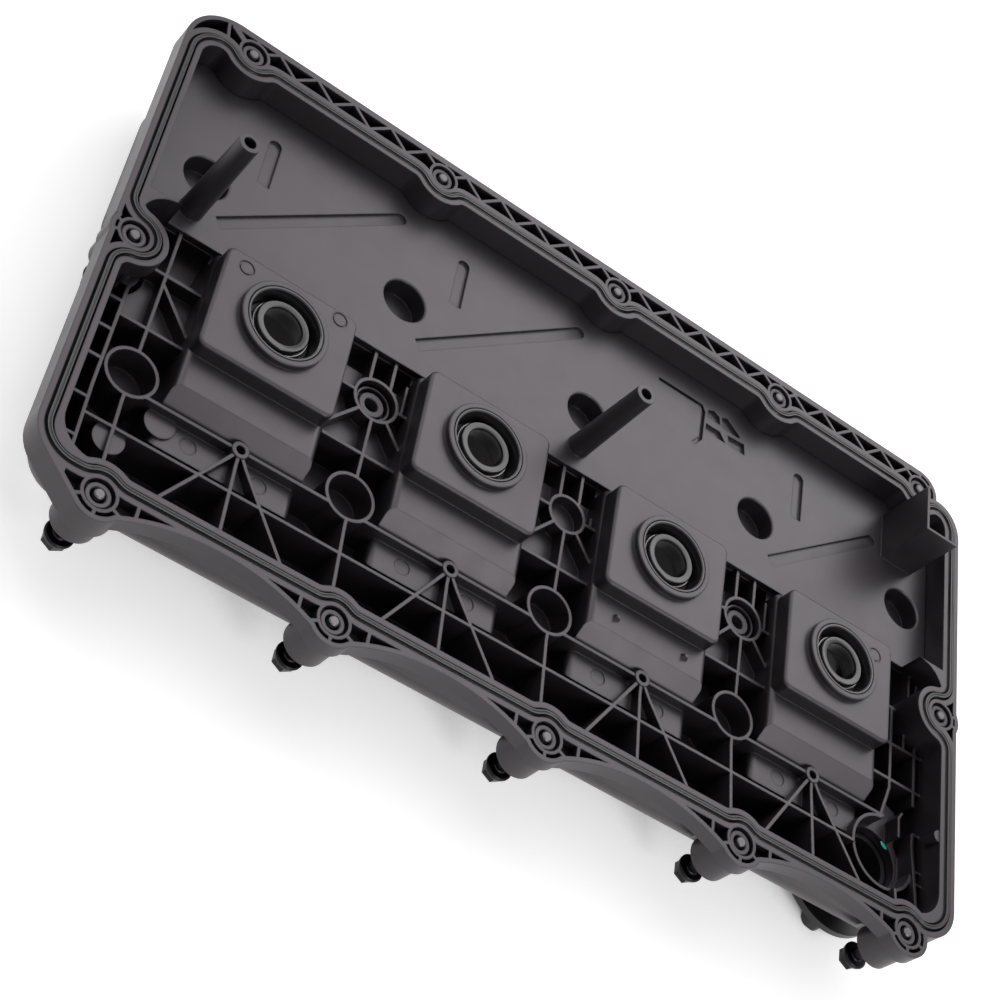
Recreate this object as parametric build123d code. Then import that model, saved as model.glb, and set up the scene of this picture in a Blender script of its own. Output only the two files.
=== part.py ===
"""Valve cover of a four-cylinder engine, lying on its outer face with its open side up.

+X runs along the cylinder row, +Z points out of the open side, and z = 0 is the top of the
gasket flange. The origin is the middle of the four corner bolts.
"""
import os
from collections import namedtuple
from math import cos, radians, sin

from build123d import *

# Cylinder row and bolt pattern
cylinder_pitch = 88.0
last_bolt_bay = 82.0
bolt_row_spacing = 218.7
first_injector_from_corner_bolt = 41.8
injector_y = -6.5
side_bolt_left = (-191.3, -4.4)
side_bolt_right = (188.2, -3.3)

# Gasket path: a rounded rectangle that steps inward round every bolt
path_left, path_right = -196.2, 192.7
path_front, path_rear = -103.0, 106.0
path_corner_radius = 12.0
bolt_to_path = 8.8
path_blend_radius = 8.0
groove_width = 3.4
groove_depth = 3.4
land_width = 8.0
gasket_foot_width = 3.0
gasket_bead_width = 1.6
gasket_step_z = -0.9
gasket_top_z = 0.7

# Flange
flange_height = 10.5
rim_width = 1.9
rear_rim_y = 119.4
rear_rim_width = 2.9
rear_left_radius = 19.5
rib_thickness = 1.3
thin_rib = 1.0
truss_pitch = 17.15
truss_depth = 9.0
wing_height = 6.5
wing_cell_depth = 5.0
bay_scallop_radius = 80.6
front_lobe_radius = 10.0
side_lobe_radius = 9.6
side_strip_low, side_strip_high = -28.0, 18.0
spoke_width = 1.3

# Walls and floors
wall = 3.0
front_floor_z = -31.0
front_edge_radius = 13.0
chamber_floor_z = -48.0
chamber_edge_radius = 9.0
chamber_front_y = 22.4
chamber_side_inset = 2.0
chamber_rear_inset = 6.5
body_corner_radius = 16.0
baffle_thickness = 2.4
baffle_gap_front, baffle_gap_rear = 42.0, 78.0

# Bolt places: boss, steel sleeve, rubber bush and captive M5 bolt
ring_radius = 6.7
boss_radius = 8.4
boss_end_z = -18.5
bolt_clearance_radius = 9.8
sleeve_recess = 1.0
sleeve_radius = 4.75
sleeve_bore_radius = 2.8
bush_bore_radius = 5.5
bush_recess = 2.5
bush_lip_width = 1.9
bush_lip_height = 2.5
bolt_radius = 2.5
bolt_point_radius = 1.95
bolt_tip_z = 0.2
bolt_travel = 8.8
bolt_flange_radius = 5.9
bolt_flange_height = 1.6
bolt_hex_across_flats = 8.0
bolt_hex_height = 4.6

# Middle bolt places, in tubes that end below the flange
middle_place_y = -2.3
middle_shift = 0.7
middle_ring_radius = 9.7
plain_ring_radius = 8.7
middle_rings_top_z = -12.0
middle_rings_floor_z = -22.0
plain_ring_floor_z = -17.6
middle_tube_radius = 7.3
middle_tube_top_z = -14.5
middle_boss_end_z = -31.5
middle_sleeve_radius = 5.4
middle_sleeve_top_z = -15.2
middle_bush_bore_radius = 6.5
middle_bolt_tip_z = -19.5
middle_bolt_travel = 7.0

# Separator plate
plate_top_z = -11.0
plate_thickness = 3.0
plate_clearance = 0.2
cup_radius = 9.2
cup_wall = 1.5
cup_depth = 9.0
cup_y = 49.6
cup_shift = 1.6
post_y = 31.0
post_top_z = 31.0
post_base_radius = 5.0
post_tip_radius = 4.2
post_bore_radius = 2.4
cup_rim_round = 0.9
channel_width = 5.2
channel_depth = 1.3
channel_y = 32.7
channel_run = (68.5, 54.8)
channel_from_bolt = 11.0
channel_columns = ((0, 1.0), (1, 1.0), (3, 0.78))
slot_from_bolt = 22.6
slot_ends_y = (62.0, 84.0)
moat_depth = 1.5
moat_width = 1.8
moat_path = ((36.2, 90.4), (59.0, 90.4), (60.4, 88.0), (60.4, 73.0), (57.0, 68.2))
panel_corners = (
    ((62.8, 86.4), (62.8, 90.4), (65.8, 91.7), (68.9, 90.2), (69.6, 86.3)),
    ((70.9, 85.6), (70.3, 90.9), (73.0, 92.0), (80.3, 86.8), (80.4, 85.5)),
    ((62.4, 82.6), (69.9, 82.6), (73.2, 78.4), (62.4, 78.4)),
    ((74.1, 83.3), (83.0, 84.0), (83.8, 78.4), (75.3, 78.4)),
)
shroud_corner = (161.9, 70.3)
shroud_end_x = 179.0
shroud_end_y = 93.5
shroud_top_z = 16.6
shroud_wall = 1.2
inlet_margin = 5.0

# Injector pedestals
pedestal_width = 56.0
block_width = 55.0
block_front_y = -32.4
block_corner_radius = 3.5
block_top_round = 1.4
pedestal_round = 3.0
block_rear_y = 15.7
ledge_z = -7.0
ledge_front_y = -46.8
pad_z = -16.3
pad_rear_y = -54.3
pad_front_y = -68.2
collar_radius = 17.5
collar_height = 2.7
seal_seat_radius = 15.4
seal_seat_depth = 7.0
seal_rim_width = 1.4
seal_web_z = -5.2
seal_lip_radius = 7.8
seal_lip_width = 2.6
seal_lip_top_z = 0.8
injector_bore_radius = 11.0

# Rib grid
rib_top_z = -12.0
rib_rise_start_y = -62.0
rib_rise_end_z = -7.5
long_rib_y = -55.2
front_rib_y = -74.4
cross_rib_y = -28.4
tower_y = -48.8
tower_radius = 10.2
tower_floor_z = -23.5
saddle_floor_z = -18.5
saddle_rear_y = 12.0
left_saddle_rear_y = 5.0
lobe_clearance_radius = 13.0
lobe_lip_z = -7.0
screw_boss_shift = 2.6
last_screw_boss_shift = -0.6
screw_boss_radius = 3.3
screw_boss_bore = 1.8
fan_spread = 29.5
ladder_x = -184.2
rear_rib_spread = 4.5
short_rib_shift = 11.0
strut_run = (18.0, 21.5)
right_ribs_x = (172.3, 185.4)
right_bend_y = -41.0
right_cross_ribs_y = (-36.8, -19.6)
outer_rib_ends_y = (-43.8, -15.8)
filler_rib_rear_y = -56.2
filler_rungs_y = (-73.4, -79.3)
ladder_rungs_y = (-14.8, -23.1, -36.6, -49.8, -67.8, -85.8)

# Moulding marks
pillar_radius = 6.0
ejector_pillars = ((-172.9, -78.4, -12.0), (-157.2, -59.2, -15.4))
pad_mark_spread, pad_mark_y, pad_mark_radius = 14.0, -61.3, 3.2
date_circles = ((-150.1, 9.4), (-111.2, 11.3), (150.8, 6.5))
mark_depth = 0.4
pip_height = 1.8
pips_x, pips_y = (28.9, 61.6), -40.3
stop_bump_y, stop_bump_radius = -60.3, 2.6

# Oil filler
filler_x, filler_y = 170.2, -71.5
filler_ring_radius = 16.1
filler_ring_open_from, filler_ring_open_to = -9, 94
filler_hole_radius = 13.0
filler_seat_z = -19.5
neck_radius = 17.0
neck_end_z = -38.5
cap_radius = 25.0
cap_disc_height = 4.5
cap_end_z = -47.8
cap_plug_clearance = 0.5
cap_plug_top_z = -24.0
cap_plug_wall = 2.0
cap_seal_height = 1.5
cap_seal_section = 1.4
rubber_clearance = 0.15
cap_grip_angle = 78
cap_grip_width = 9.0

# Places worked out from the driving sizes
half_row = (3 * cylinder_pitch + last_bolt_bay) / 2
bolt_columns = [-half_row + cylinder_pitch * i for i in range(4)] + [half_row]
rear_bolt_y = bolt_row_spacing / 2
front_bolt_y = -rear_bolt_y
rear_bolts = [(x, rear_bolt_y) for x in bolt_columns]
front_bolts = [(x, front_bolt_y) for x in bolt_columns]
perimeter_bolts = rear_bolts + front_bolts + [side_bolt_left, side_bolt_right]
injectors = [-half_row + first_injector_from_corner_bolt + cylinder_pitch * i for i in range(4)]
bay_centres = [(a + b) / 2 for a, b in zip(bolt_columns, bolt_columns[1:])]
middle_rings = [(x + middle_shift, middle_place_y) for x in bolt_columns[1:4]]
middle_bolts = [middle_rings[0], middle_rings[2]]
towers = [(x, tower_y) for x in bolt_columns[:4]]
screw_bosses = [x + screw_boss_shift for x in injectors[:3]] + [injectors[3] + last_screw_boss_shift]
floor_z = front_floor_z + wall
plate_seat_z = plate_top_z - plate_thickness
deep = -100.0
high = 60.0


Station = namedtuple("Station", "x y top_z end_z sleeve_radius bush_bore_radius tip_z travel")
perimeter_stations = [Station(x, y, -sleeve_recess, boss_end_z, sleeve_radius, bush_bore_radius,
                              bolt_tip_z, bolt_travel) for x, y in perimeter_bolts]
middle_stations = [Station(x, y, middle_sleeve_top_z, middle_boss_end_z, middle_sleeve_radius,
                           middle_bush_bore_radius, middle_bolt_tip_z, middle_bolt_travel)
                   for x, y in middle_bolts]
stations = perimeter_stations + middle_stations


def place(sketch_or_part, x, y, z=0.0):
    return Pos(x, y, z) * sketch_or_part


def prism(sketch, low, high_z):
    return extrude(Pos(0, 0, low) * sketch, high_z - low)


def discs(places, radius):
    return [place(Circle(radius), x, y) for x, y in places]


def box_sketch(x0, x1, y0, y1):
    return place(Rectangle(x1 - x0, y1 - y0), (x0 + x1) / 2, (y0 + y1) / 2)


def box(x0, x1, y0, y1, z0, z1):
    return prism(box_sketch(x0, x1, y0, y1), z0, z1)


def bar(start, end, width=rib_thickness):
    """A straight rib seen from above."""
    run = Vector(*end) - Vector(*start)
    middle = (Vector(*start) + Vector(*end)) * 0.5
    angle = Vector(1, 0, 0).get_signed_angle(run, Vector(0, 0, 1))
    return Pos(middle.X, middle.Y) * Rot(0, 0, angle) * Rectangle(run.length, width)


def drum(x, y, radius, z0, z1):
    return prism(place(Circle(radius), x, y), z0, z1)


def tub(x0, x1, y0, y1, z0, z1, corner, edge):
    """A block with rounded corners and a rounded lower edge."""
    block = prism(place(RectangleRounded(x1 - x0, y1 - y0, corner), (x0 + x1) / 2, (y0 + y1) / 2), z0, z1)
    return fillet(block.faces().sort_by(Axis.Z)[0].edges(), edge)


# ---------------------------------------------------------------- outlines
def gasket_field():
    """The area inside the gasket path, rounded where it steps round the bolts."""
    width, depth = path_right - path_left, path_rear - path_front
    middle_x, middle_y = (path_left + path_right) / 2, (path_front + path_rear) / 2
    field = place(RectangleRounded(width, depth, path_corner_radius), middle_x, middle_y)
    field -= discs(perimeter_bolts, bolt_to_path)
    narrowed = offset(field, amount=-path_blend_radius)
    return offset(narrowed, amount=path_blend_radius)


def wings():
    """Thin webs that run from bolt to bolt along the front edge, scalloped in each bay."""
    land_front = path_front - land_width / 2
    web = box_sketch(-half_row, half_row, front_bolt_y - 0.78 * front_lobe_radius, path_front)
    scallops = discs([(x, land_front - bay_scallop_radius) for x in bay_centres], bay_scallop_radius)
    return web - scallops + discs(front_bolts, front_lobe_radius)


def front_left_corner():
    """The flange runs straight from its corner to the first front bolt."""
    corner_x, corner_y = path_left + path_corner_radius, path_front + path_corner_radius
    corner_radius = path_corner_radius + land_width / 2
    edges = place(Circle(corner_radius), corner_x, corner_y).edges()
    edges += place(Circle(front_lobe_radius), *front_bolts[0]).edges()
    return make_hull(edges)


def rear_strip():
    left = path_left - land_width / 2
    right = half_row + (rear_rim_y - rear_bolt_y)
    strip = box_sketch(left, right, 0, rear_rim_y)
    corners = strip.vertices().group_by(Axis.Y)[-1].sort_by(Axis.X)
    strip = fillet(corners[0], rear_left_radius)
    right_corner = strip.vertices().filter_by(lambda v: abs(v.X - right) < 0.01).sort_by(Axis.Y)[-1]
    return fillet(right_corner, rear_rim_y - rear_bolt_y - 0.01)


def side_strips():
    """The flange's sides run straight past the side bolts, where the gasket steps inward."""
    outer = land_width / 2
    left = box_sketch(path_left - outer, side_bolt_left[0], side_strip_low, side_bolt_left[1])
    right = box_sketch(side_bolt_right[0], path_right + outer, side_strip_low, side_strip_high)
    return left + right - gasket_field()


field = gasket_field()
land = offset(field, amount=land_width / 2)
cavity = offset(field, amount=-land_width / 2)
thick_flange = land + rear_strip() + front_left_corner() + side_strips()
thick_flange += discs([side_bolt_left, side_bolt_right], side_lobe_radius)
thick_flange += discs(front_bolts, boss_radius)
whole_flange = thick_flange + wings()


# ---------------------------------------------------------------- housing
def truss_bars():
    """Zigzag ribs between the rim and the gasket land along the rear edge."""
    low = path_rear + land_width / 2 - 0.5
    high_y = rear_rim_y - rear_rim_width + 0.5
    bars = []
    for middle in bay_centres:
        for step in range(-4, 4):
            ends_y = (high_y, low) if step % 2 == 0 else (low, high_y)
            start = (middle + step * truss_pitch / 2, ends_y[0])
            end = (middle + (step + 1) * truss_pitch / 2, ends_y[1])
            bars.append(bar(start, end, spoke_width))
    return bars


def spokes(centre, angles, reach, width=spoke_width):
    x, y = centre
    return [bar((x, y), (x + reach * cos(radians(a)), y + reach * sin(radians(a))), width) for a in angles]


def flange_cells():
    """Open pockets between the flange's outer rim and the gasket land."""
    cells = offset(whole_flange, amount=-rim_width) - land - discs(perimeter_bolts, ring_radius)
    cells -= box_sketch(path_left, half_row, rear_rim_y - rear_rim_width, rear_rim_y)
    cells -= truss_bars()
    reach = rear_rim_y - rear_bolt_y + 4
    for bolt in rear_bolts:
        cells -= spokes(bolt, (38, 90, 142), reach)
    left_bolt = rear_bolts[0][0]
    cells -= bar((left_bolt - 13.4, rear_rim_y), (left_bolt - 11.2, path_rear))
    cells -= bar((left_bolt - 11.2, rear_rim_y - 3), (left_bolt - 2.0, rear_bolt_y))
    for bolt in front_bolts:
        cells -= spokes(bolt, (208, 270, 332), reach)
        cells -= [bar((bolt[0] + side * 13.5, front_bolt_y - 8), (bolt[0] + side * 13.5, path_front))
                  for side in (-1, 1)]
    cells -= spokes(side_bolt_left, (160, 197), reach)
    cells -= spokes(side_bolt_right, (18, -20), reach)
    return [cell for cell in cells.faces() if cell.area > 3.0]


def flange():
    return prism(thick_flange, -flange_height, 0) + prism(wings(), -wing_height, 0)


def flange_pockets():
    pockets = []
    for cell in flange_cells():
        depth = wing_cell_depth if cell.center().Y < front_bolt_y + 8 else truss_depth
        pockets.append(prism(cell, -depth, 1))
    return pockets


def outer_walls():
    front = tub(path_left + 1, path_right - 1, path_front + 1, path_rear - 1,
                front_floor_z, -1, body_corner_radius, front_edge_radius)
    chamber = tub(path_left + chamber_side_inset, path_right - chamber_side_inset,
                  chamber_front_y - wall, path_rear - chamber_rear_inset,
                  chamber_floor_z, floor_z, body_corner_radius - 2, chamber_edge_radius)
    walls = front + chamber
    return walls - [drum(x, y, bolt_clearance_radius, deep, boss_end_z) for x, y in perimeter_bolts]


def hollow():
    """The space inside: open above, a shallow pan in front and the deep separator chamber behind."""
    inset = wall + 1
    pan = tub(path_left + inset, path_right - inset, path_front + inset, chamber_front_y - wall,
              floor_z, high, body_corner_radius - wall, front_edge_radius - wall)
    pan &= prism(cavity, deep, high)
    side, rear = chamber_side_inset + wall, chamber_rear_inset + wall
    chamber = tub(path_left + side, path_right - side, chamber_front_y, path_rear - rear,
                  chamber_floor_z + wall, high, body_corner_radius - 5, chamber_edge_radius - wall)
    chamber &= prism(cavity, deep, high)
    x, y = side_bolt_left
    under_lobe = drum(x, y, bolt_to_path + land_width / 2, floor_z, lobe_lip_z)
    under_lobe -= drum(x, y, boss_radius, deep, high)
    under_lobe &= box(path_left + inset, 0, side_strip_low, y, deep, high)
    return pan + chamber + under_lobe


def plate_space():
    """The separator plate's bed and all the room above it."""
    bed = cavity & box_sketch(-300, 300, chamber_front_y - wall, 300)
    return prism(bed, plate_seat_z, high)


def pedestal(x):
    """A hollow step in the skin that carries one injector block."""
    rear = chamber_front_y - wall / 2
    behind_block_z = plate_seat_z - 1
    side = Polyline((rear, front_floor_z), (rear, behind_block_z), (block_rear_y, behind_block_z),
                    (block_rear_y, ledge_z), (ledge_front_y, ledge_z), (pad_rear_y, pad_z),
                    (pad_front_y, pad_z), (pad_front_y, front_floor_z), close=True)
    step = extrude(Plane.YZ.offset(x - pedestal_width / 2) * make_face(side), pedestal_width)
    shoulders = step.edges().filter_by(Axis.Y).filter_by(lambda e: e.center().Y < block_front_y)
    shoulders += step.edges().filter_by(Axis.Y).filter_by(lambda e: e.center().Z > ledge_z - 1)
    uprights = step.edges().filter_by(Axis.Z).filter_by(lambda e: e.center().Y < block_front_y)
    step = fillet(shoulders + uprights, pedestal_round)
    block = prism(place(RectangleRounded(block_width, block_rear_y - block_front_y, block_corner_radius),
                        x, (block_rear_y + block_front_y) / 2), floor_z, 0)
    block = fillet(block.faces().sort_by(Axis.Z)[-1].edges(), block_top_round)
    collar = drum(x, injector_y, collar_radius, -1, collar_height)
    collar = fillet(collar.faces().sort_by(Axis.Z)[-1].edges(), 0.5)
    return step + block + collar


def pedestal_pocket(x):
    """What the step leaves open on the outer side, one wall inside its own outline."""
    rear = chamber_front_y - 2 * wall
    block_inner_y = block_rear_y - wall
    behind_block_z = plate_seat_z - 1 - wall
    profile = Polyline((rear, deep), (rear, behind_block_z), (block_inner_y, behind_block_z),
                       (block_inner_y, ledge_z - wall), (ledge_front_y + 2, ledge_z - wall),
                       (pad_rear_y + 2, pad_z - wall), (pad_front_y + wall, pad_z - wall),
                       (pad_front_y + wall, deep), close=True)
    inner_width = pedestal_width - 2 * wall
    pocket = extrude(Plane.YZ.offset(x - inner_width / 2) * make_face(profile), inner_width)
    well = box(x - block_width / 2 + wall, x + block_width / 2 - wall,
               block_front_y + wall, block_rear_y - wall, deep, -seal_seat_depth - wall)
    bore = drum(x, injector_y, injector_bore_radius, deep, high)
    seat = drum(x, injector_y, seal_seat_radius, -seal_seat_depth, high)
    return pocket + well + bore + seat


def saddle_spans():
    """The stretches between pedestals, and left of the first one, that have a raised floor."""
    half = pedestal_width / 2
    spans = [(ladder_x, injectors[0] - half, left_saddle_rear_y)]
    spans += [(a + half, b - half, saddle_rear_y) for a, b in zip(injectors, injectors[1:])]
    return spans


def saddles():
    raised = [box(x0, x1, cross_rib_y, rear, floor_z - 1, saddle_floor_z)
              for x0, x1, rear in saddle_spans()]
    return [solid - drum(*side_bolt_left, lobe_clearance_radius, floor_z, high) for solid in raised]


def saddle_pockets():
    """The same stretches seen from outside, one wall lower."""
    pockets = [box(x0, x1, cross_rib_y + wall, rear - wall, deep, saddle_floor_z - wall)
               for x0, x1, rear in saddle_spans()]
    return [solid - drum(*side_bolt_left, lobe_clearance_radius + wall, deep, high) for solid in pockets]


def rib_plan():
    """All thin ribs of the front pan, seen from above."""
    ribs = []
    rear_end = chamber_front_y
    front_end = path_front + 1
    first = bolt_columns[0]
    ribs.append(bar((first, long_rib_y), (filler_x, long_rib_y)))
    ribs.append(bar((ladder_x, front_rib_y), (filler_x - filler_ring_radius, front_rib_y)))
    ribs.append(bar((ladder_x, front_end), (ladder_x, middle_place_y - 4)))
    ribs += [bar((path_left, y), (ladder_x, y)) for y in ladder_rungs_y]
    ribs.append(bar((first, rear_end), (first, front_end)))
    ribs.append(bar((ladder_x, cross_rib_y), (injectors[0], cross_rib_y)))
    ribs.append(bar((first - 5, middle_place_y), (injectors[0], middle_place_y)))
    ribs.append(bar((first, middle_place_y - 4), (injectors[0] - block_width / 2, cross_rib_y + 5)))
    half_bay = (cylinder_pitch - block_width) / 2 + 1
    for (x, y), short_rib_length in zip(middle_rings, (14.0, 4.5, 14.0)):
        ribs.append(bar((x - half_bay, y), (x + half_bay, y)))
        ribs.append(bar((x - half_bay, cross_rib_y), (x + half_bay, cross_rib_y)))
        ribs.append(bar((x, y), (x, front_end)))
        for side in (-1, 1):
            ribs.append(bar((x + side * rear_rib_spread, y), (x + side * rear_rib_spread, rear_end)))
            ribs.append(bar((x, y), (x + side * strut_run[0], y - strut_run[1])))
        short_rib_x = x + short_rib_shift
        ribs.append(bar((short_rib_x, y), (short_rib_x, y + short_rib_length), thin_rib))
    for x in screw_bosses:
        ribs += [bar((x, long_rib_y), (x + shift, front_end)) for shift in (-fan_spread, 0, fan_spread)]
    return ribs + right_end_ribs() + filler_ribs()


def right_end_ribs():
    """The grid between the last pedestal and the right wall."""
    inner, outer = right_ribs_x
    bend = (inner, right_bend_y)
    cross_ribs = [bar((injectors[3], y), (path_right, y)) for y in right_cross_ribs_y]
    return [
        bar((injectors[3], middle_place_y), (inner + 2, middle_place_y)),
        bar((inner, middle_place_y), bend),
        bar(bend, (inner - 4, long_rib_y)),
        bar((outer, outer_rib_ends_y[0]), (outer, outer_rib_ends_y[1])),
        bar((inner + 7, -11.0), (inner + 7, -20.0), thin_rib),
        bar((outer - 4, chamber_front_y), (outer - 4, 6.0), thin_rib),
        bar((outer, chamber_front_y), (outer, 6.0), thin_rib),
    ] + cross_ribs


def filler_ribs():
    """Ribs right of the filler and the two that tie it to the front wall."""
    outer = right_ribs_x[1]
    front_end = path_front
    return [
        bar((outer, filler_rib_rear_y), (outer, front_end)),
        bar((outer, filler_rib_rear_y), (outer + 3.5, filler_rib_rear_y), thin_rib),
        bar((179.8, -49.3), (178.0, -52.4), thin_rib),
        bar((178.0, -52.0), (178.2, -61.0), thin_rib),
        bar((filler_x + 4.4, filler_y - filler_ring_radius + 1), (filler_x + 4.4, front_end)),
    ] + [bar((outer, y), (outer + 4, y), thin_rib) for y in filler_rungs_y]


def rib_envelope():
    """Ribs are level with the towers and rise towards the front wall."""
    front = path_front
    rear = chamber_front_y + wall
    side = Polyline((rear, floor_z - 1), (rear, rib_top_z), (rib_rise_start_y, rib_top_z),
                    (front, rib_rise_end_z), (front, floor_z - 1), close=True)
    return extrude(Plane.YZ.offset(-250) * make_face(side), 500)


def filler_ring():
    """The raised ring round the filler hole, open where the last rib bends towards it."""
    ring = Circle(filler_ring_radius) - Circle(filler_ring_radius - rib_thickness)
    far = 2 * filler_ring_radius
    start, end = radians(filler_ring_open_from), radians(filler_ring_open_to)
    gap = Polyline((0, 0), (far * cos(start), far * sin(start)), (far, far),
                   (far * cos(end), far * sin(end)), close=True)
    return place(prism(ring - make_face(gap), filler_seat_z, rib_top_z), filler_x, filler_y)


def filler_shelf():
    """The flat round the filler hole, which runs on to the bend of the last rib."""
    inner, outer = right_ribs_x
    chute = Polyline((inner - 4, long_rib_y), (inner, right_bend_y), (outer - 3, right_bend_y - 4),
                     (outer - 3, filler_y), (filler_x, filler_y), close=True)
    shelf = prism(make_face(chute), floor_z - 1, filler_seat_z)
    return shelf + drum(filler_x, filler_y, filler_ring_radius, floor_z - 1, filler_seat_z)


def tubes():
    solids = [drum(x, y, tower_radius, floor_z - 1, rib_top_z) for x, y in towers]
    solids += [drum(x, y, middle_ring_radius, floor_z - 1, middle_rings_top_z) for x, y in middle_bolts]
    solids.append(drum(*middle_rings[1], plain_ring_radius, floor_z - 1, middle_rings_top_z))
    solids += [drum(x, long_rib_y, screw_boss_radius, floor_z - 1, rib_top_z + 0.4) for x in screw_bosses]
    return solids + [filler_shelf(), filler_ring()]


def tube_bores():
    inner = middle_ring_radius - rib_thickness
    bores = [drum(x, y, tower_radius - rib_thickness, tower_floor_z, high) for x, y in towers]
    bores += [drum(x, y, inner, middle_rings_floor_z, high) for x, y in middle_bolts]
    bores.append(drum(*middle_rings[1], plain_ring_radius - rib_thickness, plain_ring_floor_z, high))
    bores += [drum(x, long_rib_y, screw_boss_bore, pad_z - 1, high) for x in screw_bosses]
    bores.append(drum(filler_x, filler_y, filler_hole_radius, deep, high))
    return bores


def moulding_marks():
    """Ejector pillars in the left end, locating pips on the third ledge and the stop bump on the lip."""
    solids = [drum(x, y, pillar_radius, floor_z - 1, z) for x, y, z in ejector_pillars]
    for x in pips_x:
        solids.append(loft([place(Circle(1.7), x, pips_y, ledge_z - 0.2),
                            place(Circle(0.8), x, pips_y, ledge_z + pip_height)]))
    solids.append(drum(path_right - land_width / 2, stop_bump_y, stop_bump_radius, -7.0, -0.6))
    return solids


def shallow_marks():
    """Round ejector marks on the pads and bare date circles on three of the blocks."""
    marks = [drum(x + side * pad_mark_spread, pad_mark_y, pad_mark_radius, pad_z - mark_depth, pad_z + 1)
             for x in injectors for side in (-1, 1)]
    for x, y in date_circles:
        ring = Circle(3.2) - Circle(2.5)
        marks.append(place(prism(ring, -mark_depth, 0.5), x, y))
    return marks


def bolt_place_bosses():
    bosses = [drum(x, y, boss_radius, boss_end_z, -1) for x, y in perimeter_bolts]
    bosses += [drum(x, y, ring_radius, -flange_height, 0) for x, y in perimeter_bolts]
    bosses += [drum(x, y, boss_radius, middle_boss_end_z, middle_rings_floor_z) for x, y in middle_bolts]
    return bosses


def middle_tubes():
    low = middle_rings_floor_z - 1
    return [drum(x, y, middle_tube_radius, low, middle_tube_top_z) for x, y in middle_bolts]


def bolt_place_bores():
    return [drum(at.x, at.y, at.bush_bore_radius, deep, high) for at in stations]


def chamber_baffles():
    """Labyrinth walls of the separator chamber, standing from its floor to the plate."""
    half = baffle_thickness / 2
    reaches = ((chamber_front_y - 1, baffle_gap_rear), (baffle_gap_front, path_rear - chamber_rear_inset - 1))
    solids = []
    for number, x in enumerate(bay_centres):
        y0, y1 = reaches[number % 2]
        solids.append(box(x - half, x + half, y0, y1, chamber_floor_z + 1, plate_seat_z))
    return solids


def cover_housing():
    walls = outer_walls()
    body = flange() + walls
    body -= hollow()
    ribs = prism(Sketch() + rib_plan(), floor_z - 1, -5) & rib_envelope()
    body += ribs & prism(offset(cavity, amount=1.0), deep, high) & walls
    body += saddles()
    body -= saddle_pockets()
    body += [pedestal(x) for x in injectors]
    body += tubes() + moulding_marks() + bolt_place_bosses() + chamber_baffles()
    body += drum(filler_x, filler_y, neck_radius, neck_end_z, floor_z)
    body -= [pedestal_pocket(x) for x in injectors]
    body -= tube_bores()
    body += middle_tubes()
    body -= bolt_place_bores() + flange_pockets() + shallow_marks()
    body -= plate_space()
    groove = offset(field, amount=groove_width / 2) - offset(field, amount=-groove_width / 2)
    return body - prism(groove, -groove_depth, 1)


# ---------------------------------------------------------------- separator plate
def channel(start, end, width=channel_width):
    """A shallow drain channel seen from above: square where it starts and round where it ends."""
    run = Vector(*end) - Vector(*start)
    angle = Vector(1, 0, 0).get_signed_angle(run, Vector(0, 0, 1))
    outline = Rectangle(run.length, width, align=(Align.MIN, Align.CENTER))
    outline += Pos(run.length, 0) * Circle(width / 2)
    return Pos(*start) * Rot(0, 0, angle) * outline


def plate_recesses():
    shallow, deeper = [], []
    for number, share in channel_columns:
        x = bolt_columns[number] + channel_from_bolt
        end = (x + share * channel_run[0], channel_y + share * channel_run[1])
        shallow.append(channel((x, channel_y), end))
        x = bolt_columns[number] + slot_from_bolt
        shallow.append(channel((x, slot_ends_y[0]), (x, slot_ends_y[1])))
    deeper.append(trace(Polyline(*moat_path), moat_width))
    deeper += [make_face(Polyline(*corners, close=True)) for corners in panel_corners]
    cuts = [prism(sketch, plate_top_z - channel_depth, high) for sketch in shallow]
    return cuts + [prism(sketch, plate_top_z - moat_depth, high) for sketch in deeper]


def shroud():
    """Two thin walls that shield the chamber's inlet in the rear right corner."""
    x, y = shroud_corner
    low = plate_top_z - 1
    return [box(x, x + shroud_wall, y, shroud_end_y, low, shroud_top_z),
            box(x, shroud_end_x, y, y + shroud_wall, low, shroud_top_z)]


def separator_plate():
    sheet = offset(cavity, amount=-plate_clearance)
    sheet &= box_sketch(-300, 300, chamber_front_y - wall + plate_clearance, 300)
    plate = prism(sheet, plate_seat_z, plate_top_z)
    cups = [(x + cup_shift, cup_y) for x in bolt_columns]
    cup_bottom_z = plate_top_z - cup_depth
    plate += [drum(x, y, cup_radius + cup_wall, cup_bottom_z - cup_wall, plate_seat_z) for x, y in cups]
    plate -= [drum(x, y, cup_radius, cup_bottom_z, high) for x, y in cups]
    rims = plate.edges().filter_by(GeomType.CIRCLE).filter_by(
        lambda e: abs(e.radius - cup_radius) < 0.01 and abs(e.center().Z - plate_top_z) < 0.01)
    plate = fillet(rims, cup_rim_round)
    plate -= plate_recesses()
    plate += shroud()
    x, y = shroud_corner
    plate -= box(x + inlet_margin, shroud_end_x + 4, y + inlet_margin, shroud_end_y, deep, high)
    for x in (bolt_columns[0], bolt_columns[2]):
        plate += loft([place(Circle(post_base_radius), x, post_y, plate_seat_z),
                       place(Circle(post_tip_radius), x, post_y, post_top_z)])
        plate -= drum(x, post_y, post_bore_radius, deep, high)
    return plate


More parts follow.
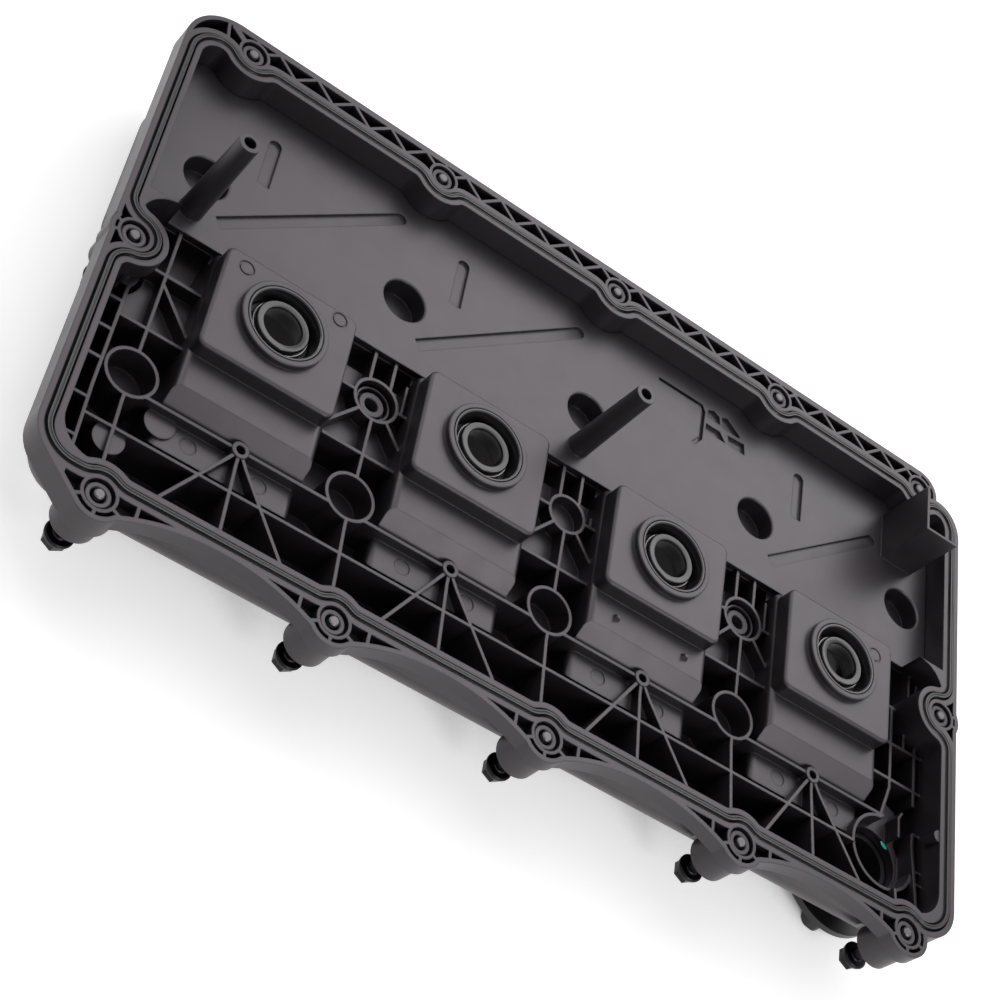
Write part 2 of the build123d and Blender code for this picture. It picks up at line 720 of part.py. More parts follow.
# ---------------------------------------------------------------- rubber, metal and cap
def perimeter_gasket():
    """A cord with a foot in the groove and a bead that stands proud of the flange."""
    foot, bead = gasket_foot_width / 2, gasket_bead_width / 2
    cord = prism(offset(field, amount=foot) - offset(field, amount=-foot), -groove_depth, gasket_step_z)
    ridge = offset(field, amount=bead) - offset(field, amount=-bead)
    return cord + prism(ridge, gasket_step_z, gasket_top_z)


def injector_seal(x):
    """A lip seal: an outer shell in the collar, a low web and a lip round the injector."""
    outer, lip = seal_seat_radius, seal_lip_radius
    lip_outer = lip + seal_lip_width
    rim_inner = outer - seal_rim_width
    section = Polyline((outer, -seal_seat_depth), (outer, collar_height), (rim_inner, collar_height),
                       (rim_inner - 0.4, seal_web_z), (lip_outer + 0.6, seal_web_z), (lip_outer + 0.8, -2.2),
                       (lip_outer, -1.4), (lip_outer, 0.4), (lip_outer - 0.4, seal_lip_top_z),
                       (lip + 0.6, seal_lip_top_z - 0.1), (lip, seal_lip_top_z - 1.1), (lip, -5.0),
                       (lip + 1.5, -seal_seat_depth), close=True)
    return place(revolve(Plane.XZ * make_face(section), Axis.Z), x, injector_y)


def sleeve(at):
    ring = Circle(at.sleeve_radius) - Circle(sleeve_bore_radius)
    return place(prism(ring, at.end_z - bush_lip_height, at.top_z), at.x, at.y)


def bush(at):
    tube = Circle(at.bush_bore_radius) - Circle(at.sleeve_radius)
    lip = Circle(at.bush_bore_radius + bush_lip_width) - Circle(at.sleeve_radius)
    solid = prism(tube, at.end_z, at.top_z - bush_recess) + prism(lip, at.end_z - bush_lip_height, at.end_z)
    return place(solid, at.x, at.y)


def bolt(at):
    """A captive flange bolt at rest: hanging out by its full travel."""
    under_head = at.end_z - bush_lip_height - at.travel
    flange_end = under_head - bolt_flange_height
    solid = prism(Circle(bolt_radius), under_head, at.tip_z)
    solid = chamfer(solid.faces().sort_by(Axis.Z)[-1].edges(), bolt_radius - bolt_point_radius)
    solid += prism(Circle(bolt_flange_radius), flange_end, under_head)
    solid += prism(RegularPolygon(bolt_hex_across_flats / 2, 6, major_radius=False),
                   flange_end - bolt_hex_height, flange_end)
    return place(solid, at.x, at.y)


def cap_seal_groove():
    """Lower and upper end of the groove for the cap's seal."""
    return cap_plug_top_z - cap_seal_height - 2.0, cap_plug_top_z - 2.0


def oil_filler_cap():
    """Stepped disc with a bar grip below and a plug that reaches into the neck."""
    disc_low = neck_end_z - cap_disc_height
    plug_radius = filler_hole_radius - cap_plug_clearance
    disc = drum(0, 0, cap_radius, disc_low, neck_end_z)
    disc = chamfer(disc.faces().sort_by(Axis.Z)[0].edges(), 1.5)
    plug = drum(0, 0, plug_radius, neck_end_z, cap_plug_top_z)
    plug -= drum(0, 0, plug_radius - cap_plug_wall, disc_low + 2, high)
    reach, half = cap_radius - 2, cap_grip_width / 2
    grip = box(-reach, reach, -half, half, cap_end_z, disc_low)
    grip = fillet(grip.edges().filter_by(Axis.Z), half - 1)
    hub = loft([place(Circle(10.0), 0, 0, cap_end_z + 1.5), place(Circle(15.0), 0, 0, disc_low)])
    cap = disc + plug + grip + hub
    low, top = cap_seal_groove()
    cap -= drum(0, 0, plug_radius + 1, low, top) - drum(0, 0, plug_radius - cap_seal_section, deep, high)
    return place(Rot(0, 0, cap_grip_angle) * cap, filler_x, filler_y)


def filler_cap_seal():
    """A ring in the plug's groove."""
    plug_radius = filler_hole_radius - cap_plug_clearance
    ring = Circle(filler_hole_radius - rubber_clearance) - Circle(plug_radius - cap_seal_section)
    return place(prism(ring, *cap_seal_groove()), filler_x, filler_y)


# ---------------------------------------------------------------- all sub-parts
def subparts():
    names = [f"bolt_rear_{i}" for i in range(1, 6)] + [f"bolt_front_{i}" for i in range(1, 6)]
    names += ["bolt_left", "bolt_right", "bolt_middle_1", "bolt_middle_2"]
    parts = {
        "cover_housing": cover_housing(),
        "separator_plate": separator_plate(),
        "perimeter_gasket": perimeter_gasket(),
        "compression_limiters": Compound([sleeve(at) for at in stations]),
        "bolt_bushes": Compound([bush(at) for at in stations]),
        "oil_filler_cap": oil_filler_cap(),
        "filler_cap_seal": filler_cap_seal(),
    }
    for number, x in enumerate(injectors, start=1):
        parts[f"injector_seal_{number}"] = injector_seal(x)
    for name, at in zip(names, stations):
        parts[name] = bolt(at)
    return parts


os.makedirs("parts", exist_ok=True)
for name, solid in subparts().items():
    export_step(solid, f"parts/{name}.step")
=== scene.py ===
import math

import bpy
from bpy.props import FloatProperty, FloatVectorProperty, IntProperty, PointerProperty
from bpy.types import Operator, Panel, PropertyGroup
from mathutils import Matrix, Vector


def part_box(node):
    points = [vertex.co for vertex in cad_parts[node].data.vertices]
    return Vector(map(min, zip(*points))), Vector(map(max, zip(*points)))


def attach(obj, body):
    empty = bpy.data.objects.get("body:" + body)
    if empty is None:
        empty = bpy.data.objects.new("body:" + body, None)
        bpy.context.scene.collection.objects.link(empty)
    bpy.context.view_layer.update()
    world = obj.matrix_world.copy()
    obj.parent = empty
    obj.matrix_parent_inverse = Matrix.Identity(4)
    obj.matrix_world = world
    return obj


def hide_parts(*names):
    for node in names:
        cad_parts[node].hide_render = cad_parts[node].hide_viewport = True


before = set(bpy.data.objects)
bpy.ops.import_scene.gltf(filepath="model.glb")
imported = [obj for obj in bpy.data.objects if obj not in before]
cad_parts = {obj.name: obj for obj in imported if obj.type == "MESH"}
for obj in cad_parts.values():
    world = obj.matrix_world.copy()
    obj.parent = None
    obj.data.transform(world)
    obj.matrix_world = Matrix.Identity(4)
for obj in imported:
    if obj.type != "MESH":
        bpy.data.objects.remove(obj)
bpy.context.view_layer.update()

bl_info = {
    "name": "Engine valve cover",
    "version": (1, 0, 0),
    "blender": (4, 5, 0),
    "location": "View3D > Sidebar > Valve cover",
    "description": "Dresses the packed valve cover: nylon, rubber seals, captive bolts and filler cap",
    "category": "Object",
}

MM = 0.001
BOLTS = sorted(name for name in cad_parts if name.startswith("bolt_") and name != "bolt_bushes")
MIDDLE_BOLTS = [name for name in BOLTS if "middle" in name]
EDGE_BOLTS = [name for name in BOLTS if name not in MIDDLE_BOLTS]

# Where the bosses of the bolt places end, in millimetres along Z from the gasket face
EDGE_BOSS_END = -18.5
MIDDLE_BOSS_END = -31.5


# ---------------------------------------------------------------- colours and nodes
def linear(hex_colour):
    """An sRGB hex colour as three linear values."""
    channels = [int(hex_colour[i:i + 2], 16) / 255 for i in (1, 3, 5)]
    return tuple(c / 12.92 if c <= 0.04045 else ((c + 0.055) / 1.055) ** 2.4 for c in channels)


def brighter(colour, share):
    """A linear colour scaled by this share."""
    return tuple(share * c for c in colour)


def add_node(tree, kind, settings=None, links=None):
    """Adds a node: settings are its properties or constant sockets, links are sockets that feed it."""
    node = tree.nodes.new(kind)
    for key, value in (settings or {}).items():
        if isinstance(key, str) and hasattr(node, key):
            setattr(node, key, value)
        else:
            node.inputs[key].default_value = value
    for key, socket in (links or {}).items():
        tree.links.new(socket, node.inputs[key])
    return node


def new_material(name):
    material = bpy.data.materials.new(name)
    material.use_nodes = True
    material.node_tree.nodes.clear()
    return material


def finish_material(tree, settings, links):
    """Ends a material in a Principled shader with these constants and sockets."""
    shader = add_node(tree, "ShaderNodeBsdfPrincipled", settings, links)
    add_node(tree, "ShaderNodeOutputMaterial", links={"Surface": shader.outputs[0]})


def noise(tree, place, size_mm, detail=3.0, roughness=0.5):
    """Noise on Object coordinates whose features have this size."""
    settings = {"Scale": 1.0 / (size_mm * MM), "Detail": detail, "Roughness": roughness}
    return add_node(tree, "ShaderNodeTexNoise", settings, {"Vector": place}).outputs["Fac"]


def ramp(tree, factor, low, high, colour_low=(0, 0, 0), colour_high=(1, 1, 1)):
    """A colour ramp from one colour at low to another at high."""
    node = add_node(tree, "ShaderNodeValToRGB", links={"Fac": factor})
    first, last = node.color_ramp.elements
    first.position, last.position = low, high
    first.color = (*colour_low, 1.0)
    last.color = (*colour_high, 1.0)
    return node.outputs["Color"]


def spread(tree, factor, low, high):
    """Stretches a factor of 0 to 1 over this range."""
    return add_node(tree, "ShaderNodeMapRange", {"To Min": low, "To Max": high}, {"Value": factor}).outputs[0]


def bumped(tree, height, strength, depth_mm, edge_mm):
    """A bumped normal over corners softened by edge_mm."""
    soft = add_node(tree, "ShaderNodeBevel", {"samples": 2, "Radius": edge_mm * MM})
    return add_node(tree, "ShaderNodeBump", {"Strength": strength, "Distance": depth_mm * MM},
                    {"Height": height, "Normal": soft.outputs[0]}).outputs[0]


# ---------------------------------------------------------------- finishes
def moulded_nylon(name, colour, shade_colour):
    """Glass-filled nylon, injection moulded: satin grey-black with flow marks and fine fibre specks.

    Corners are softly rounded and catch the light; deep hollows are darkened by ambient occlusion, a painted
    shade.
    The fibres are far finer than 0.8 mm, and are drawn that coarse so that they show.
    """
    flow_mm, fibre_mm, smear_mm, hollow_mm = 26.0, 0.8, 9.0, 20.0
    material = new_material(name)
    tree = material.node_tree
    place = add_node(tree, "ShaderNodeTexCoord").outputs["Object"]
    flow = noise(tree, place, flow_mm, detail=4.0, roughness=0.6)
    fibres = noise(tree, place, fibre_mm, detail=4.0, roughness=0.7)
    smear = noise(tree, place, smear_mm, roughness=0.6)
    # Painted shade: ambient occlusion mixes the deep hollows and corners towards a near-black.
    hollow = add_node(tree, "ShaderNodeAmbientOcclusion", {"samples": 3, "Distance": hollow_mm * MM})
    openness = ramp(tree, hollow.outputs["AO"], 0.12, 0.80)
    tone = ramp(tree, flow, 0.3, 0.7, colour, brighter(colour, 1.22))
    specks = add_node(tree, "ShaderNodeMix", {"data_type": "RGBA", "blend_type": "MULTIPLY", 0: 1.0},
                      {6: tone, 7: ramp(tree, fibres, 0.25, 0.75, (0.88, 0.88, 0.88), (1.12, 1.12, 1.12))})
    painted_shade = add_node(tree, "ShaderNodeMix", {"data_type": "RGBA", 6: (*shade_colour, 1.0)},
                    {0: openness, 7: specks.outputs[2]})
    gloss = add_node(tree, "ShaderNodeMath", {"operation": "ADD"},
                     {0: spread(tree, fibres, 0.24, 0.31), 1: spread(tree, smear, 0.06, 0.16)})
    finish_material(tree, {"IOR": 1.53, "Specular Tint": (1.0, 0.92, 0.98, 1.0)},
                    {"Base Color": painted_shade.outputs[2], "Roughness": gloss.outputs[0],
                     "Normal": bumped(tree, fibres, strength=0.10, depth_mm=0.05, edge_mm=0.8)})
    return material


def moulded_skin(name, colour, roughness, grain_mm=0.5):
    """Moulded rubber, plain plastic or thick paint: a soft sheen, a fine even grain and a faint bloom."""
    bloom_mm = 6.0
    material = new_material(name)
    tree = material.node_tree
    place = add_node(tree, "ShaderNodeTexCoord").outputs["Object"]
    grain = noise(tree, place, grain_mm)
    tone = ramp(tree, grain, 0.3, 0.7, colour, brighter(colour, 1.4))
    gloss = spread(tree, noise(tree, place, bloom_mm), roughness - 0.05, roughness + 0.07)
    relief = bumped(tree, grain, strength=0.1, depth_mm=0.03, edge_mm=0.2)
    finish_material(tree, {"IOR": 1.5}, {"Base Color": tone, "Roughness": gloss, "Normal": relief})
    return material


def dull_steel(name, colour, roughness, grain_mm=0.6):
    """Plated or phosphated steel: a dull metal with a faint mottle from its crystals."""
    material = new_material(name)
    tree = material.node_tree
    place = add_node(tree, "ShaderNodeTexCoord").outputs["Object"]
    mottle = noise(tree, place, grain_mm)
    tone = ramp(tree, mottle, 0.3, 0.7, colour, brighter(colour, 1.3))
    gloss = spread(tree, mottle, roughness - 0.06, roughness + 0.08)
    relief = bumped(tree, mottle, strength=0.12, depth_mm=0.04, edge_mm=0.2)
    finish_material(tree, {"Metallic": 1.0}, {"Base Color": tone, "Roughness": gloss, "Normal": relief})
    return material


def floor_paint():
    """White matt paint that keeps a soft shadow and shows white to the camera and in reflections.

    The paint glows for those rays alone, less so where the object shades it, and more with distance from the
    middle: the dimmed glow under and round the cover is a painted shadow.
    """
    shade_mm, near_glow, far_glow, near_m, far_m = 60.0, 0.52, 1.0, 0.40, 1.60
    material = new_material("white_matt_floor")
    tree = material.node_tree
    paint_coat = add_node(tree, "ShaderNodeBsdfDiffuse", {"Color": (*linear("#f2f2f2"), 1.0)})
    # Painted shadow: ambient occlusion dims the glow under and beside the cover.
    shade = add_node(tree, "ShaderNodeAmbientOcclusion", {"samples": 12, "Distance": shade_mm * MM})
    place = add_node(tree, "ShaderNodeTexCoord").outputs["Object"]
    distance = add_node(tree, "ShaderNodeVectorMath", {"operation": "LENGTH"}, {0: place}).outputs["Value"]
    strength = add_node(tree, "ShaderNodeMapRange", {"From Min": near_m, "From Max": far_m,
                                                     "To Min": near_glow, "To Max": far_glow},
                        {"Value": distance})
    glow = add_node(tree, "ShaderNodeEmission", {},
                    {"Color": ramp(tree, shade.outputs["AO"], 0.06, 0.28), "Strength": strength.outputs[0]})
    lit = add_node(tree, "ShaderNodeAddShader", links={0: paint_coat.outputs[0], 1: glow.outputs[0]})
    both = add_node(tree, "ShaderNodeMixShader",
                    links={0: seen_directly(tree), 1: paint_coat.outputs[0], 2: lit.outputs[0]})
    add_node(tree, "ShaderNodeOutputMaterial", links={"Surface": both.outputs[0]})
    return material


def seen_directly(tree):
    """One for rays from the camera or off a glossy surface, and nothing for the rest."""
    rays = add_node(tree, "ShaderNodeLightPath")
    return add_node(tree, "ShaderNodeMath", {"operation": "MAXIMUM"},
                    {0: rays.outputs["Is Camera Ray"], 1: rays.outputs["Is Glossy Ray"]}).outputs[0]


# ---------------------------------------------------------------- shaping
def edit_all():
    """Edit mode with the whole active piece selected."""
    bpy.ops.object.mode_set(mode="EDIT")
    bpy.ops.mesh.select_all(action="SELECT")


def object_mode():
    bpy.ops.object.mode_set(mode="OBJECT")


def edit_faces(piece, wanted):
    """Edit mode with only those faces of the active piece selected that pass the test."""
    edit_all()
    bpy.ops.mesh.select_all(action="DESELECT")
    object_mode()
    for face in piece.data.polygons:
        face.select = wanted(face)
    bpy.ops.object.mode_set(mode="EDIT")


def nothing_selected():
    bpy.ops.object.select_all(action="DESELECT")


def only(piece):
    """Makes this the one selected and active object."""
    nothing_selected()
    piece.select_set(True)
    bpy.context.view_layer.objects.active = piece


def smooth(piece, angle=32):
    """Smooth shading up to this angle in degrees, and crisp edges beyond it."""
    only(piece)
    bpy.ops.object.shade_smooth_by_angle(angle=math.radians(angle))


def shift(piece, x, y, z):
    """Moves the mesh by these millimetres and leaves the object at the origin."""
    piece.data.transform(Matrix.Translation(Vector((x, y, z)) * MM))


def turn(piece, angle):
    """Turns the mesh about Z by this many radians."""
    piece.data.transform(Matrix.Rotation(angle, 4, "Z"))


def place_in_mesh(piece):
    """Moves a new primitive's own place into its mesh."""
    piece.data.transform(piece.matrix_world)
    piece.matrix_world = Matrix.Identity(4)


def spun(name, profile, steps, degrees=360.0):
    """A closed profile of (radius, z) millimetres, drawn by extruding one vertex and spun round Z."""
    nothing_selected()
    bpy.ops.mesh.primitive_plane_add(size=MM)
    piece = bpy.context.object
    piece.name = piece.data.name = name
    edit_all()
    bpy.ops.mesh.merge(type="CENTER")
    bpy.ops.transform.translate(value=(profile[0][0] * MM, 0, profile[0][1] * MM))
    for (r0, z0), (r1, z1) in zip(profile, profile[1:]):
        step = ((r1 - r0) * MM, 0, (z1 - z0) * MM)
        bpy.ops.mesh.extrude_region_move(TRANSFORM_OT_translate={"value": step})
    object_mode()
    for vertex in piece.data.vertices:
        vertex.select = vertex.index in (0, len(profile) - 1)
    bpy.ops.object.mode_set(mode="EDIT")
    bpy.ops.mesh.edge_face_add()
    bpy.ops.mesh.select_all(action="SELECT")
    bpy.ops.mesh.spin(steps=steps, angle=math.radians(degrees), center=(0, 0, 0), axis=(0, 0, 1))
    bpy.ops.mesh.select_all(action="SELECT")
    bpy.ops.mesh.remove_doubles(threshold=0.002 * MM)
    bpy.ops.mesh.normals_make_consistent(inside=False)
    object_mode()
    smooth(piece)
    return piece


def copies(piece, names, places):
    """Copies of a piece, each with its own mesh moved to its place in millimetres."""
    made = []
    for name, at in zip(names, places):
        twin = piece.copy()
        twin.data = piece.data.copy()
        twin.name = twin.data.name = name
        bpy.context.scene.collection.objects.link(twin)
        shift(twin, *at)
        made.append(twin)
    bpy.data.objects.remove(piece)
    return made


def paint(piece, material, body):
    """Gives a new piece its finish, the body it moves with and its material slot."""
    piece.data.materials.clear()
    piece.data.materials.append(material)
    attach(piece, body)


def dress(node, material):
    """Gives a carried-over CAD node its finish."""
    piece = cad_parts[node]
    piece.data.materials.clear()
    piece.data.materials.append(material)


def middle(node):
    """The middle of a CAD node's box, in millimetres."""
    low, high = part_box(node)
    return (low + high) / 2 / MM


# ---------------------------------------------------------------- properties
class ValveCoverSizes(PropertyGroup):
    spin_steps: IntProperty(
        name="Round steps", description="Facets round each turned piece", default=64, min=12)
    thread_pitch: FloatProperty(
        name="Thread pitch", description="Pitch of the M5 bolts in millimetres", default=0.8, min=0.4)
    across_flats: FloatProperty(
        name="Across flats", description="Spanner size of the bolt heads in millimetres",
        default=8.0, min=5.0)
    camera_lens: FloatProperty(
        name="Lens", description="Focal length on a 36 mm sensor", default=76.207, min=10.0)
    floor_size: FloatProperty(
        name="Floor size", description="Side of the pale floor", default=8.0, unit="LENGTH")


class ValveCoverColours(PropertyGroup):
    nylon: FloatVectorProperty(
        name="Nylon", description="Moulded cover", subtype="COLOR",
        default=linear("#242023"), min=0.0, max=1.0)
    plate: FloatVectorProperty(
        name="Plate", description="Separator plate, welded in", subtype="COLOR",
        default=linear("#262225"), min=0.0, max=1.0)
    bolts: FloatVectorProperty(
        name="Bolts", description="Phosphated bolt steel", subtype="COLOR",
        default=linear("#201f21"), min=0.0, max=1.0)


# ---------------------------------------------------------------- operators
class VALVECOVER_OT_housing(Operator):
    """Finish the moulded housing and the separator plate"""
    bl_idname = "valvecover.housing"
    bl_label = "Housing and plate"

    def execute(self, context):
        colours = context.scene.valve_cover_colours
        # Painted shade: the near-black that ambient occlusion puts in the deep hollows of the nylon.
        hollow_shade_colour = linear("#070607")
        dress("cover_housing", moulded_nylon("glass_filled_nylon_satin", tuple(colours.nylon), hollow_shade_colour))
        dress("separator_plate", moulded_nylon("glass_filled_nylon_plate", tuple(colours.plate), hollow_shade_colour))
        return {"FINISHED"}


class VALVECOVER_OT_notch_walls(Operator):
    """Close the side walls behind the head space of the two side bolts, which cuts through them"""
    bl_idname = "valvecover.notch_walls"
    bl_label = "Side bolt notches"

    def execute(self, context):
        nylon = bpy.data.materials["glass_filled_nylon_satin"]
        for bolt, facing, wall in (("bolt_left", 0.0, -194.75), ("bolt_right", math.pi, 191.25)):
            notch = self.bent_wall(bolt, facing)
            inner_side = self.inside_of_housing(wall, middle(bolt).y)
            only(notch)
            cut = notch.modifiers.new("inside_the_walls", "BOOLEAN")
            cut.operation = "INTERSECT"
            cut.solver = "EXACT"
            cut.object = inner_side
            bpy.ops.object.modifier_apply(modifier=cut.name)
            bpy.data.objects.remove(inner_side)
            if not notch.data.polygons:
                raise RuntimeError(bolt + " has no notch wall left")
            smooth(notch)
            paint(notch, nylon, "cover")
        return {"FINISHED"}

    def bent_wall(self, bolt, facing):
        """A curved wall round the inner side of a bolt's head, with a ledge up to its boss."""
        boss_radius, head_space, outer = 8.3, 9.85, 11.3
        top, end = -16.9, -30.8
        profile = [(boss_radius, top), (outer, top), (outer, end), (head_space, end),
                   (head_space, EDGE_BOSS_END), (boss_radius, EDGE_BOSS_END)]
        wall = spun(bolt + "_notch_wall", profile, steps=36, degrees=216.0)
        edit_all()
        bpy.ops.mesh.fill_holes(sides=0)
        bpy.ops.mesh.normals_make_consistent(inside=False)
        object_mode()
        heading = sum((v.co for v in wall.data.vertices), Vector())
        turn(wall, facing - math.atan2(heading.y, heading.x))
        shift(wall, middle(bolt).x, middle(bolt).y, 0)
        return wall

    def inside_of_housing(self, wall, y):
        """A block that fills the housing inwards from this wall, with the wall's rounded lower edge."""
        side, centre_z, edge_radius = 60.0, -0.65, 13.0
        nothing_selected()
        bpy.ops.mesh.primitive_cube_add(size=side * MM)
        block = bpy.context.object
        shift(block, wall - math.copysign(side / 2, wall), y, centre_z)
        edit_all()
        bpy.ops.mesh.select_all(action="DESELECT")
        object_mode()
        for edge in block.data.edges:
            ends = [block.data.vertices[i].co for i in edge.vertices]
            edge.select = all(abs(end.x / MM - wall) < 0.1 and end.z < 0 for end in ends)
        bpy.ops.object.mode_set(mode="EDIT")
        bpy.ops.mesh.bevel(offset=edge_radius * MM, segments=16, affect="EDGES")
        object_mode()
        return block


class VALVECOVER_OT_paint_dab(Operator):
    """Put the inspector's dab of green paint on the edge of the filler hole"""
    bl_idname = "valvecover.paint_dab"
    bl_label = "Paint dab"

    def execute(self, context):
        radius, spread_out, waviness = 1.3, (1.5, 0.7, 0.25), 0.25
        nothing_selected()
        bpy.ops.mesh.primitive_uv_sphere_add(segments=20, ring_count=10, radius=radius * MM)
        dab = context.object
        dab.name = dab.data.name = "paint_dab"
        edit_all()
        bpy.ops.transform.resize(value=spread_out)
        object_mode()
        for vertex in dab.data.vertices:
            vertex.co.x += waviness * math.sin(9.0 * vertex.co.y / MM) * MM
        turn(dab, math.radians(-35))
        shift(dab, 177.2, -62.3, -19.45)
        smooth(dab, angle=80)
        # Marking paint from a brush: a small bright spot, glossier than the nylon under it.
        green = moulded_skin("green_marking_paint", linear("#1fa08c"), 0.35, grain_mm=0.8)
        paint(dab, green, "cover")
        return {"FINISHED"}


class VALVECOVER_OT_gasket(Operator):
    """Groove the bead of the perimeter gasket"""
    bl_idname = "valvecover.gasket"
    bl_label = "Perimeter gasket"

    def execute(self, context):
        # Acrylic rubber, moulded: black and slightly satin, with a dark line down its bead.
        shoulder, groove_edge, groove_depth = 0.45, 0.12, 0.35
        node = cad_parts["perimeter_gasket"]
        cord = node.copy()
        cord.data = node.data.copy()
        cord.parent = None
        cord.name = cord.data.name = "gasket_cord"
        context.scene.collection.objects.link(cord)
        only(cord)
        edit_all()
        bpy.ops.mesh.remove_doubles(threshold=0.01 * MM)
        object_mode()
        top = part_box("perimeter_gasket")[1].z
        edit_faces(cord, lambda face: face.normal.z > 0.9 and face.center.z > top - 0.05 * MM)
        bpy.ops.mesh.inset(thickness=shoulder * MM, depth=0)
        bpy.ops.mesh.inset(thickness=groove_edge * MM, depth=-groove_depth * MM)
        object_mode()
        smooth(cord)
        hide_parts("perimeter_gasket")
        cord_rubber = moulded_skin("acrylic_rubber_gasket", linear("#171617"), 0.30)
        paint(cord, cord_rubber, "cover")
        return {"FINISHED"}


class VALVECOVER_OT_seals(Operator):
    """Turn the four injector seals and their garter springs"""
    bl_idname = "valvecover.seals"
    bl_label = "Injector seals"

    def execute(self, context):
        steps = context.scene.valve_cover_sizes.spin_steps
        numbers = range(1, 5)
        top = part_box("injector_seal_1")[1].z / MM
        centres = [middle(f"injector_seal_{number}") for number in numbers]
        places = [(centre.x, centre.y, top) for centre in centres]

        # The half section of a seal, outside first, with its heights from the top of the rim
        rim = [(15.2, -9.7), (15.4, -9.4), (15.4, -0.9), (15.05, -0.45), (14.95, 0.0), (14.35, 0.0),
               (13.95, -0.35)]
        cup = [(13.75, -1.4), (13.45, -7.2), (12.9, -7.9), (11.6, -7.9), (11.15, -7.5)]
        spring_groove = [(11.0, -5.2), (10.55, -4.9), (10.35, -4.45), (10.4, -4.0), (10.75, -3.7)]
        lip = [(10.75, -2.9), (10.5, -2.55), (10.45, -2.2), (10.2, -1.95), (8.35, -1.95), (7.95, -2.15),
               (7.8, -2.5), (7.8, -3.0), (8.5, -4.0), (9.1, -6.5), (9.3, -9.7)]
        shell = spun("injector_seal", rim + cup + spring_groove + lip, steps)
        # Fluoro rubber, moulded and wet with oil: the glossiest of the black parts.
        seal = moulded_skin("fluoro_rubber_seal", linear("#1c1a1c"), 0.22)
        for number, piece in zip(numbers, copies(shell, [f"lip_seal_{n}" for n in numbers], places)):
            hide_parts(f"injector_seal_{number}")
            paint(piece, seal, "cover")

        spring_radius, wire_radius, spring_z = 10.95, 0.55, -4.4
        nothing_selected()
        bpy.ops.mesh.primitive_torus_add(
            major_radius=spring_radius * MM, minor_radius=wire_radius * MM,
            major_segments=96, minor_segments=10, location=(0, 0, spring_z * MM))
        ring = context.object
        place_in_mesh(ring)
        smooth(ring, angle=60)
        # Drawn spring wire: a thin bright ring in the dark groove.
        wire = dull_steel("spring_steel_wire", linear("#6f6d6e"), 0.25, grain_mm=0.4)
        for piece in copies(ring, [f"garter_spring_{n}" for n in numbers], places):
            paint(piece, wire, "cover")
        return {"FINISHED"}


class VALVECOVER_OT_sleeves(Operator):
    """Turn the steel sleeves and the rubber bushes of the bolt places"""
    bl_idname = "valvecover.sleeves"
    bl_label = "Sleeves and bushes"

    def execute(self, context):
        sleeves = (self.rings(EDGE_BOLTS, bore=2.8, radius=4.75, top=-1.0, end=EDGE_BOSS_END, chamfer=0.35)
                   + self.rings(MIDDLE_BOLTS, bore=2.8, radius=5.4, top=-15.2, end=MIDDLE_BOSS_END,
                                chamfer=0.35))
        bushes = (self.rings(EDGE_BOLTS, bore=4.8, radius=5.45, top=-2.5, end=EDGE_BOSS_END + 0.1,
                             chamfer=0.2)
                  + self.rings(MIDDLE_BOLTS, bore=5.45, radius=6.45, top=-17.2, end=MIDDLE_BOSS_END + 0.1,
                               chamfer=0.3))
        # Turned steel under dull zinc reads as a grey ring; the moulded bush round it as a black one.
        steel = dull_steel("zinc_plated_steel", linear("#4b484b"), 0.55)
        black = moulded_skin("moulded_rubber_bush", linear("#1a181a"), 0.45)
        for parts, name, node, finish, slot in (
                (sleeves, "steel_sleeves", "compression_limiters", steel, "sleeve_steel"),
                (bushes, "rubber_bushes", "bolt_bushes", black, "bush_rubber")):
            only(parts[0])
            for part in parts:
                part.select_set(True)
            bpy.ops.object.join()
            parts[0].name = parts[0].data.name = name
            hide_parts(node)
            paint(parts[0], finish, "cover")
        return {"FINISHED"}

    def rings(self, bolts, bore, radius, top, end, chamfer):
        """A ring with chamfered edges at each of these bolts, in millimetres."""
        profile = [(bore, end + chamfer), (bore + chamfer, end), (radius - chamfer, end),
                   (radius, end + chamfer), (radius, top - chamfer), (radius - chamfer, top),
                   (bore + chamfer, top), (bore, top - chamfer)]
        ring = spun("ring", profile, bpy.context.scene.valve_cover_sizes.spin_steps)
        places = [(middle(bolt).x, middle(bolt).y, 0) for bolt in bolts]
        return copies(ring, [bolt + "_ring" for bolt in bolts], places)


